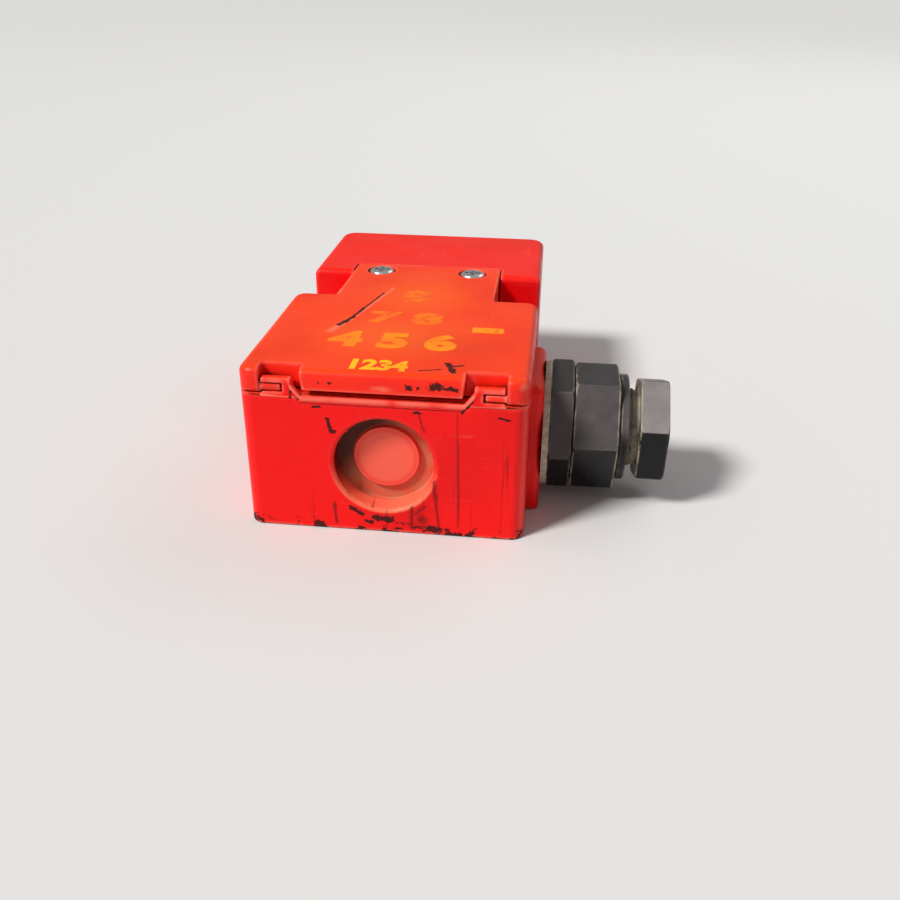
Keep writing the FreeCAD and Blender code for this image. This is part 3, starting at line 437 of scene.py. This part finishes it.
def entry_wall_highlight(finish):
    """A painted highlight on the lower part of the front entry's wall and lip, where light falls, with a
    pale dust film there too.
    """
    place, out = around_entry(finish, 0.0)
    wall = finish.between(out, (ENTRY_RADIUS - 0.25 * MM, ENTRY_RADIUS - 0.05 * MM),
                          (ENTRY_RADIUS + 0.5 * MM, ENTRY_RADIUS + 0.9 * MM))
    lower = finish.fall(finish.axis(place, "Z"), -6.5 * MM, 1.0 * MM)
    depth = finish.fall(finish.axis(place, "Y"), 3.2 * MM, 4.4 * MM)
    return finish.times(wall, lower, depth)


def disc_film(finish):
    """The thin pale film on the front knock-out's disc."""
    return finish.spot((0.0, -47.2, 14.0), (6.5, 1.2, 6.5), 0.7)


def bottom_scuffs(finish):
    """Broken black scuffs along the front wall's lower edge."""
    chips = finish.noise(430.0, 5.0, 0.7, (0.55, 1.0, 1.0), (0.2, 0.4, 0.1), 0.5)
    low = finish.fall(finish.axis(finish.place, "Z"), 0.5 * MM, 3.0 * MM)
    near = finish.fall(finish.axis(finish.place, "Y"), FRONT + 1.0 * MM, FRONT + 2.4 * MM)
    return finish.times(finish.ramp(chips, 0.50, 0.60), low, near)


def streaks(low, high, amount, scale):
    """Thin upright scratches over the front wall from (x, z) low to high, in millimetres."""
    def mask(finish):
        lines = finish.noise(620.0 * scale, 3.0, 0.6, (1.0, 0.2, 0.035), (0.31, 0.0, 0.17), 0.4)
        across = finish.between(finish.axis(finish.place, "X"), (low[0] * MM, (low[0] + 2.5) * MM),
                                ((high[0] - 2.5) * MM, high[0] * MM))
        upright = finish.between(finish.axis(finish.place, "Z"), (low[1] * MM, (low[1] + 2.0) * MM),
                                 ((high[1] - 5.0) * MM, high[1] * MM))
        near = finish.fall(finish.axis(finish.place, "Y"), FRONT + 0.3 * MM, FRONT + 0.6 * MM)
        return finish.times(finish.ramp(lines, 0.58, 0.68), across, upright, near, amount)
    return mask


def line(start, end, width, ragged):
    """A scratch in millimetres. It fades as far out as one and a half times its width."""
    return lambda finish: finish.line(start, end, 1.5 * width, finish.wander(LINE_SHAKE, ragged))


def spot(centre, radii, ragged):
    """A blot in millimetres. It fades as far out as 1.3 times its radii."""
    reach = tuple(1.3 * radius for radius in radii)
    return lambda finish: finish.spot(centre, reach, 0.0, finish.wander(SPOT_SHAKE, ragged))


def top_line(start, end, width, ragged):
    """A scratch on the lid's top, between two (x, y) places."""
    return line((*start, TOP_Z), (*end, TOP_Z), width, ragged)


def front_line(start, end, width, ragged):
    """A scratch on the front wall, between two (x, z) places."""
    return line((start[0], FRONT_Y, start[1]), (end[0], FRONT_Y, end[1]), width, ragged)


def front_spot(x, z, wide, tall, ragged):
    return spot((x, FRONT_Y, z), (wide, 1.2, tall), ragged)


def tongue_spot(x, z, wide, tall, ragged):
    return spot((x, TONGUE_Y, z), (wide, 1.6, tall), ragged)


def lid_marks():
    """The lid's tints, each with its colour and strength, and its black marks."""
    haze = [
        spot((0.0, -32.0, TOP_Z), (17.0, 13.0, 4.0), 3.0),
        spot((1.0, -8.0, TOP_Z), (12.0, 16.0, 4.0), 3.0),
    ]
    # Pale wear and scratches, and a painted highlight on the lid's corner
    pale = [
        top_line((-13.4, -31.0), (-11.0, -24.0), 0.9, 0.6),
        top_line((-10.2, -22.0), (-5.6, -3.5), 0.45, 0.4),
        tongue_spot(0.0, 29.3, 2.1, 0.65, 0.9),
        # A painted highlight on the lid's front right corner
        spot((24.9, -50.2, 30.9), (1.1, 1.6, 0.9), 0.5),
    ]
    black = [
        top_line((-11.4, -25.8), (-9.4, -17.0), 0.42, 0.25),
        top_line((-9.4, -17.0), (-7.1, -7.0), 0.26, 0.25),
        top_line((-12.4, -27.4), (-10.6, -22.6), 0.55, 0.6),
        top_line((10.9, -44.4), (12.4, -48.2), 0.62, 0.7),
        spot((11.3, -45.3, TOP_Z), (0.8, 1.2, 0.8), 0.7),
        top_line((12.2, -45.6), (13.7, -44.9), 0.36, 0.5),
        top_line((6.3, -48.2), (9.9, -47.3), 0.24, 0.5),
        tongue_spot(4.9, 29.9, 0.95, 0.85, 0.8),
        tongue_spot(6.6, 29.8, 0.35, 0.45, 0.8),
        tongue_spot(9.6, 30.3, 1.9, 0.95, 0.9),
        tongue_spot(12.2, 30.0, 1.7, 0.60, 0.8),
        tongue_spot(-9.1, 29.9, 0.55, 0.30, 0.8),
        tongue_spot(-11.2, 29.9, 0.25, 0.28, 0.8),
    ]
    tints = [
        (haze, shade(255, 118, 10), 0.40),
        (pale, shade(255, 150, 120), 0.42),
    ]
    return tints, black


def base_marks():
    """The base's tints, each with its colour and strength, and its black marks."""
    # Painted highlights down the front's rounded right corner and the side boss's outer corner
    corner_highlights = [
        line((26.0, -50.4, 0.5), (26.0, -50.4, 27.0), 1.0, 0.5),
        line((28.4, -40.4, 1.0), (28.4, -40.4, 24.0), 0.7, 0.5),
    ]
    black = [
        front_line((-9.9, 22.9), (-9.4, 20.6), 0.42, 0.6),
        front_spot(-9.1, 20.5, 0.7, 0.7, 0.7),
        front_line((-6.2, 4.9), (-4.2, 3.6), 0.55, 0.8),
        front_line((-1.7, 2.9), (1.3, 2.7), 0.70, 0.9),
        front_line((-3.5, 2.0), (-2.3, 1.9), 0.38, 0.7),
        front_spot(-12.4, 0.4, 1.7, 1.9, 2.0),
        front_spot(9.2, 1.2, 1.2, 1.1, 1.8),
        front_spot(13.0, 0.2, 2.4, 0.7, 1.5),
        front_line((20.9, 25.0), (22.6, 24.6), 0.28, 0.5),
        front_line((-12.4, 25.3), (-11.2, 25.2), 0.28, 0.6),
        front_spot(6.2, 25.1, 1.1, 0.42, 0.6),
        front_line((14.2, 25.6), (15.9, 27.6), 0.34, 0.5),
        front_line((-16.2, 28.2), (-16.5, 26.9), 0.34, 0.5),
        bottom_scuffs,
    ]
    # Dark red streaks on the front, and a painted shadow under the sill
    darkening = [
        front_line((6.6, 24.6), (7.6, 21.5), 0.20, 0.4),
        front_line((9.2, 11.4), (9.6, 8.0), 0.48, 0.5),
        front_line((9.6, 8.0), (10.3, 0.4), 0.34, 0.5),
        front_line((5.2, 5.6), (5.1, 1.2), 0.40, 0.7),
        front_line((7.4, 6.0), (5.8, 4.3), 0.34, 0.7),
        front_line((-9.4, 5.6), (-9.2, 1.4), 0.36, 0.7),
        front_spot(7.0, 3.2, 1.5, 1.6, 2.0),
        streaks((-1.0, 0.5), (12.0, 25.0), 0.7, 1.1),
        streaks((11.0, 0.5), (26.2, 29.0), 0.75, 1.3),
        streaks((-15.0, 0.0), (-6.0, 11.0), 0.65, 0.9),
        # Painted shadow in a line under the sill and up its turned ends
        front_line((-SILL_HALF, 25.85), (SILL_HALF, 25.85), 0.20, 0.25),
        front_line((-SILL_HALF, 25.85), (-16.9, 28.7), 0.22, 0.25),
        front_line((SILL_HALF, 25.85), (16.9, 28.7), 0.22, 0.25),
    ]
    tints = [
        ([disc_film], shade(255, 150, 120), 0.42),
        # Painted highlight on the lower part of the front entry's bore and lip, with a pale dust film
        ([entry_wall_highlight], shade(255, 138, 104), 0.62),
        (corner_highlights, shade(255, 118, 98), 0.55),
        (darkening, shade(112, 2, 4), 0.80),
    ]
    return tints, black


# Black glass-filled nylon with a painted sheen on upward facets, partly dust lying on them, and dust on
# edges and in nooks
def black_nylon(name, sheen_and_dust_share, edge_share, dust_and_highlight_bands):
    finish = Finish(name)
    grain = finish.noise(700.0, 5.0, 0.62)
    colour = finish.mix(finish.ramp(grain, 0.35, 0.75), shade(4, 4, 5), shade(15, 13, 15))
    # Painted reflection on facets facing up, partly dust lying on them
    facing = finish.axis(finish.facing, "Z")
    upward = finish.times(finish.ramp(facing, 0.05, 0.45), finish.ramp(facing, 0.78, 0.98, 1.0, 0.4))
    film = finish.ramp(finish.noise(190.0, 5.0, 0.7), 0.30, 0.72, 0.74, 1.0)
    sheen_and_dust = finish.times(upward, film, sheen_and_dust_share)
    colour = finish.mix(sheen_and_dust, colour, shade(166, 158, 158))
    edge_patch = finish.ramp(finish.noise(330.0, 4.0, 0.6), 0.36, 0.60)
    edge = finish.times(finish.ridge(0.45 * MM), edge_patch, edge_share)
    nook_patch = finish.ramp(finish.noise(520.0, 4.0, 0.6), 0.36, 0.62)
    nook = finish.times(finish.ramp(finish.crevice(0.9 * MM), 0.40, 0.9), nook_patch, edge_share * 0.8)
    dust_and_highlight = finish.calc("MAXIMUM", edge, nook)

    # Pale bands across the gland's axis, from start to stop in millimetres: dust, and a painted highlight
    # on the gland's collar
    x = finish.axis(finish.place, "X")
    soft = 0.12
    for start, stop, share in dust_and_highlight_bands:
        band = finish.between(x, ((start - soft) * MM, (start + soft) * MM),
                              ((stop - soft) * MM, (stop + soft) * MM))
        patch = finish.ramp(finish.noise(380.0, 4.0, 0.65), 0.34, 0.58)
        dust_and_highlight = finish.calc("MAXIMUM", dust_and_highlight, finish.times(band, patch, share))
    colour = finish.mix(dust_and_highlight, colour, shade(190, 180, 156))
    rough = finish.ramp(finish.noise(210.0, 4.0, 0.6), 0.3, 0.7, 0.20, 0.34)
    rough = finish.calc("ADD", rough, finish.times(finish.calc("MAXIMUM", dust_and_highlight, sheen_and_dust), 0.4))
    finish.bump(finish.calc("ADD", grain, finish.times(dust_and_highlight, 0.8)), 0.25, 0.04 * MM)
    return finish.done(colour, rough, specular=0.28)


def plain_plastic(name, dark, light):
    finish = Finish(name)
    grain = finish.noise(900.0, 4.0, 0.6)
    cloud = finish.noise(90.0, 3.0)
    colour = finish.mix(finish.ramp(grain, 0.3, 0.7), dark, light)
    colour = finish.mix(finish.ramp(cloud, 0.45, 0.8, 0.0, 0.25), colour, dark)
    finish.bump(grain, 0.2, 0.03 * MM)
    return finish.done(colour, finish.ramp(cloud, 0.3, 0.7, 0.42, 0.58))


def rubber(name, dark, light):
    finish = Finish(name)
    grain = finish.noise(1300.0, 4.0, 0.7)
    bloom = finish.ramp(finish.noise(180.0, 4.0, 0.6), 0.45, 0.75)
    colour = finish.mix(finish.ramp(grain, 0.3, 0.75), dark, light)
    colour = finish.mix(finish.times(bloom, 0.35), colour, light)
    finish.bump(grain, 0.3, 0.05 * MM)
    return finish.done(colour, finish.ramp(bloom, 0.0, 1.0, 0.62, 0.85), specular=0.3)


def metal(name, base, tarnish, roughness, stained=0.35):
    finish = Finish(name)
    brush = finish.noise(1500.0, 3.0, 0.6, (1, 1, 0.05))
    darkening = finish.ramp(finish.noise(320.0, 5.0, 0.65), 0.45, 0.78)
    colour = finish.mix(finish.times(darkening, stained), base, tarnish)
    # Painted shade in crevices
    crevice_shade = finish.times(finish.ramp(finish.crevice(0.8 * MM), 0.45, 0.95), 0.7)
    colour = finish.mix(crevice_shade, colour, shade(52, 44, 38))
    rough = finish.ramp(brush, 0.3, 0.7, roughness - 0.07, roughness + 0.10)
    rough = finish.calc("ADD", rough, finish.times(darkening, 0.12))
    finish.bump(brush, 0.12, 0.02 * MM)
    return finish.done(colour, rough, metallic=1.0)


def printed_ink(name, colour, worn):
    """Pad-printed ink, worn through to the plastic in places."""
    finish = Finish(name)
    wear = finish.ramp(finish.noise(360.0, 5.0, 0.7), 0.52 - worn, 0.70 - worn)
    haze = finish.ramp(finish.noise(110.0, 3.0), 0.40, 0.75, 0.0, 0.45)
    tone = finish.mix(haze, colour, shade(250, 80, 16))
    tone = finish.mix(wear, tone, shade(246, 66, 18))
    finish.bump(wear, 0.15, 0.02 * MM)
    return finish.done(tone, finish.ramp(wear, 0.0, 1.0, 0.50, 0.38), specular=0.3)


def make_finishes():
    lid_tints, lid_black = lid_marks()
    base_tints, base_black = base_marks()
    # The band from 42.4 to 42.9 mm is a painted highlight on the collar ring; the others are dust
    gland_dust_and_highlight_bands = [(34.0, 34.5, 0.45), (42.4, 42.9, 0.60)]
    pressure_bands = [(44.4, 46.9, 0.60)]
    return {
        "housing_red": red_plastic("housing_plastic", shade(250, 50, 18), shade(248, 9, 9),
                                   base_tints, base_black, entry_dust_and_shadow=True),
        "lid_red": red_plastic("lid_plastic", shade(255, 66, 12), shade(255, 42, 22), lid_tints, lid_black),
        "head_red": red_plastic("head_plastic", shade(250, 30, 10), shade(240, 8, 14)),
        "sill_red": red_plastic("sill_plastic", shade(255, 66, 46), shade(250, 40, 30)),
        "black_plastic": plain_plastic("black_moulding", shade(24, 24, 26), shade(44, 44, 46)),
        "gland_black": black_nylon("gland_nylon", 0.24, 0.75, gland_dust_and_highlight_bands),
        "pressure_black": black_nylon("pressure_screw_nylon", 0.70, 0.55, pressure_bands),
        "block_plastic": plain_plastic("contact_block_moulding", shade(52, 54, 58), shade(74, 76, 80)),
        "white_plastic": plain_plastic("carrier_moulding", shade(205, 203, 194), shade(228, 226, 218)),
        "washer_grey": rubber("sealing_washer", shade(150, 146, 128), shade(198, 192, 172)),
        "seal_rubber": rubber("black_rubber", shade(22, 22, 22), shade(46, 46, 46)),
        "zinc_steel": metal("zinc_plate", shade(240, 242, 242), shade(190, 184, 168), 0.24, 0.22),
        "spring_steel": metal("drawn_steel", shade(176, 176, 176), shade(128, 124, 118), 0.26),
        "silver_contact": metal("silvered_copper", shade(224, 220, 208), shade(170, 150, 110), 0.24),
        "brass": metal("turned_brass", shade(214, 176, 92), shade(150, 112, 60), 0.30),
    }


def widen_entry_mouth(piece):
    """Cuts a worn slope around the mouth of the front entry."""
    wide_radius = ENTRY_RADIUS + 1.55 * MM
    narrow_radius = ENTRY_RADIUS - 0.15 * MM
    length = 1.7 * MM
    middle = (0, FRONT - 0.15 * MM, ENTRY_Z)
    into_wall = (math.radians(-90), 0, 0)
    bpy.ops.mesh.primitive_cone_add(vertices=96, radius1=wide_radius, radius2=narrow_radius, depth=length,
                                    location=middle, rotation=into_wall)
    slope = bpy.context.active_object
    settle(slope)
    use_modifier(piece, "BOOLEAN", operation="DIFFERENCE", object=slope, solver="EXACT")
    bpy.data.objects.remove(slope)


def rounded_copy(node_name, piece_name, width, least_angle, shaping):
    """A copy of a CAD node with its sharp edges rounded over, kept inside the node's own box."""
    piece = bpy.data.objects.new(piece_name, frame["nodes"][node_name].data.copy())
    bpy.context.scene.collection.objects.link(piece)
    edit(piece, "VERT")
    bpy.ops.mesh.remove_doubles(threshold=MERGE_DISTANCE)
    bpy.ops.mesh.dissolve_limited(angle_limit=FLAT_ANGLE)
    leave_edit()
    if shaping:
        shaping(piece)
    use_modifier(piece, "BEVEL", width=width * MM, segments=2, limit_method="ANGLE",
                 angle_limit=math.radians(least_angle), use_clamp_overlap=False)
    low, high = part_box(node_name)
    for vertex in piece.data.vertices:
        vertex.co = [min(max(value, least), most) for value, least, most in zip(vertex.co, low, high)]
    smooth(piece)
    use_modifier(piece, "WEIGHTED_NORMAL", keep_sharp=True, weight=50)
    return piece


def add_front_sill():
    """The raised lip under the lid's tongue, turned up at both ends to meet the hinge lugs."""
    half = SILL_HALF * MM
    depth = 0.90 * MM
    height = 0.86 * MM
    middle = (0, -50.33 * MM, 26.52 * MM)
    end_out = 1.95 * MM
    end_up = 2.35 * MM
    rounding = 0.26 * MM
    least_angle = math.radians(25)
    bpy.ops.mesh.primitive_cube_add(size=1.0, location=middle)
    sill = bpy.context.active_object
    sill.name = "front_sill"
    sill.scale = (2 * half, depth, height)
    settle(sill)
    for side in (-1, 1):
        edit(sill, "FACE")
        bpy.ops.mesh.select_all(action="DESELECT")
        leave_edit()
        for face in sill.data.polygons:
            face.select = face.normal.x * side > 0.9
        bpy.ops.object.mode_set(mode="EDIT")
        bpy.ops.mesh.extrude_region_move(TRANSFORM_OT_translate={"value": (side * end_out, 0, end_up)})
        leave_edit()
    use_modifier(sill, "BEVEL", width=rounding, segments=3, limit_method="ANGLE", angle_limit=least_angle)
    smooth(sill)
    dress(sill, finishes["sill_red"], "housing", "housing_red")


def print_number(number_text, low, high, finish, name, weight):
    """A plain printed number that fills the lid's area from (x, y) low to high, in millimetres."""
    lift = 0.01 * MM
    thickness = 0.008 * MM
    bpy.ops.object.text_add(location=(0, 0, 0))
    number = bpy.context.active_object
    number.name = name
    number.data.body = number_text
    number.data.size = 10 * MM
    number.data.offset = weight * MM
    number.data.extrude = thickness
    number.data.resolution_u = 6
    bpy.ops.object.convert(target="MESH")
    number = bpy.context.active_object
    xs = [vertex.co.x for vertex in number.data.vertices]
    ys = [vertex.co.y for vertex in number.data.vertices]
    across = (high[0] - low[0]) * MM / (max(xs) - min(xs))
    along = (high[1] - low[1]) * MM / (max(ys) - min(ys))
    number.scale = (across, along, 1.0)
    number.location = (low[0] * MM - min(xs) * across, low[1] * MM - min(ys) * along, LID_TOP + lift)
    settle(number)
    dress(number, finish, "lid", "lid_red")


def print_bar(low, high, finish, name):
    """A plain printed bar with rounded corners on the lid, from (x, y) low to high, in millimetres."""
    thickness = 0.012 * MM
    corner = 0.5 * MM
    middle = ((low[0] + high[0]) / 2 * MM, (low[1] + high[1]) / 2 * MM, LID_TOP + thickness)
    bpy.ops.mesh.primitive_plane_add(size=1.0, location=middle)
    bar = bpy.context.active_object
    bar.name = name
    bar.scale = ((high[0] - low[0]) * MM, (high[1] - low[1]) * MM, 1.0)
    settle(bar)
    edit(bar, "VERT")
    bpy.ops.mesh.bevel(offset=corner, segments=3, affect="VERTICES")
    leave_edit()
    use_modifier(bar, "SOLIDIFY", thickness=thickness, offset=-1.0)
    dress(bar, finish, "lid", "lid_red")


def add_prints():
    yellow = printed_ink("yellow_ink", shade(255, 196, 0), -0.03)
    orange = printed_ink("orange_ink", shade(255, 148, 0), -0.05)
    faint = printed_ink("faint_orange_ink", shade(255, 122, 4), 0.02)
    print_number("1234", (-6.1, -49.0), (4.2, -44.2), yellow, "print_row_front", 0.48)
    print_number("4 5 6", (-12.8, -38.6), (11.6, -30.2), orange, "print_row_middle", 0.55)
    print_number("7 8", (-7.5, -25.4), (7.5, -18.4), faint, "print_row_rear", 0.55)
    print_number("9", (-3.0, -13.0), (3.5, -4.5), faint, "print_mark_far", 0.55)
    print_bar((13.7, -28.2), (19.9, -25.4), orange, "print_bar_side")


def finish_of_node(node_name):
    if node_name == "gland_pressure_screw":
        return finishes["pressure_black"]
    return finishes[slot_of_node[node_name]]


deselect()
add_camera()
add_studio()
add_floor()
finishes = make_finishes()
slot_of_node = {row["node"]: row["material_slot"] for row in frame["record"]["subparts"]}
body_of_node = {}
for body_name, members in frame["record"]["behaviour"]["bodies"].items():
    for member in members:
        body_of_node[member] = body_name

for node_name, node in frame["nodes"].items():
    node.data.materials.clear()
    node.data.materials.append(finish_of_node(node_name))

# Each rounded node: its piece's name, bevel in millimetres, least edge angle in degrees, further shaping
rounded = {
    "base_housing": ("base_moulding", 0.25, 32, widen_entry_mouth),
    "lid": ("lid_moulding", 0.30, 32, None),
    "head_housing": ("head_moulding", 0.25, 32, None),
    "gland_adapter": ("adapter_hexagon", 0.22, 50, None),
    "gland_body": ("gland_hexagon", 0.22, 52, None),
    "gland_pressure_screw": ("pressure_hexagon", 0.22, 52, None),
}
for node_name, (piece_name, width, least_angle, shaping) in rounded.items():
    piece = rounded_copy(node_name, piece_name, width, least_angle, shaping)
    dress(piece, finish_of_node(node_name), body_of_node[node_name], slot_of_node[node_name], node_name)

add_front_sill()
add_prints()

bpy.context.view_layer.update()
